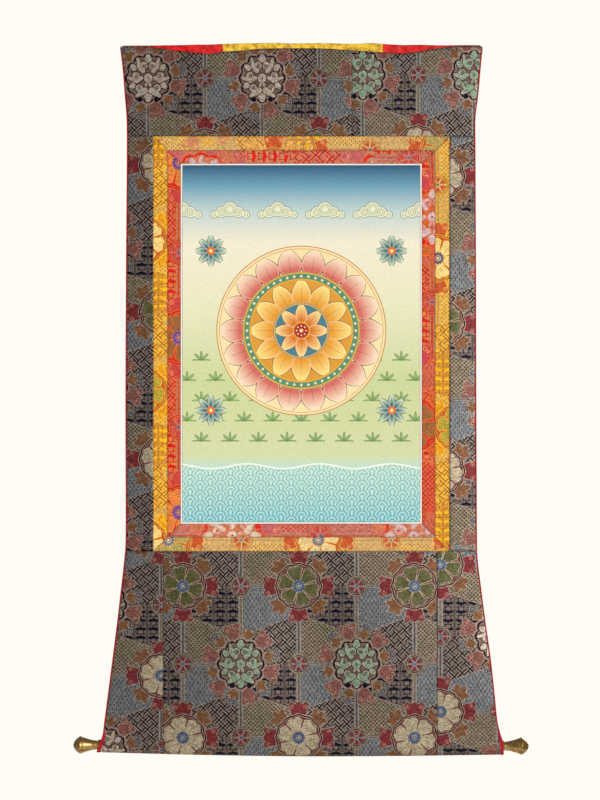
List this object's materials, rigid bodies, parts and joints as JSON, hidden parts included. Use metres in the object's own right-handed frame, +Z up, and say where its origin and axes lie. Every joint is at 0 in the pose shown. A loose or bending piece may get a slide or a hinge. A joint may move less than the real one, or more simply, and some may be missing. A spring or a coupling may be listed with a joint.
{
  "type": "thangka scroll painting with roller rod",
  "caption": "Hanging scroll painting: a painted canvas in red and gold brocade borders on dark figured brocade, with a silk cover thrown over its top and a knobbed rod in its hem.",
  "frame": {"origin": "middle of the top fold of the silk cover, where the hanging is held", "axes": "+Z up, +X to the viewer's right along the top edge, front face towards -Y"},
  "size_m": [0.7666, 0.0294, 1.2004],
  "materials": {
    "dark_brocade": "slate grey figured brocade with crimson, ochre, cream, green and navy flowers and lattice work",
    "gold_brocade": "golden yellow figured brocade with a faint sheen",
    "red_brocade": "red figured brocade with orange and pink cloud scrolls",
    "painted_canvas": "matte mineral paint on fine cotton canvas with a pale margin",
    "red_binding": "plain red cloth, matte",
    "red_silk": "thin red satin, softly wrinkled",
    "yellow_silk": "thin yellow satin, softly wrinkled",
    "rod_wood": "plain turned wood, dull",
    "brass": "aged turned brass, satin with a darker patina in the grooves"
  },
  "bodies": {
    "root": {"brocade_top_left": "dark_brocade", "brocade_top_right": "dark_brocade", "brocade_side_left": "dark_brocade", "brocade_side_right": "dark_brocade", "brocade_skirt_left": "dark_brocade", "brocade_skirt_centre": "dark_brocade", "brocade_skirt_right": "dark_brocade", "gold_border_top": "gold_brocade", "gold_border_bottom": "gold_brocade", "gold_border_left": "gold_brocade", "gold_border_right": "gold_brocade", "red_border_top": "red_brocade", "red_border_bottom": "red_brocade", "red_border_left": "red_brocade", "red_border_right": "red_brocade", "painted_canvas": "painted_canvas", "edge_binding_left": "red_binding", "edge_binding_right": "red_binding", "silk_cover_red_left": "red_silk", "silk_cover_yellow": "yellow_silk", "silk_cover_red_right": "red_silk", "roller_rod": "rod_wood", "brass_knob_left": "brass", "brass_knob_right": "brass"}
  },
  "joints": []
}
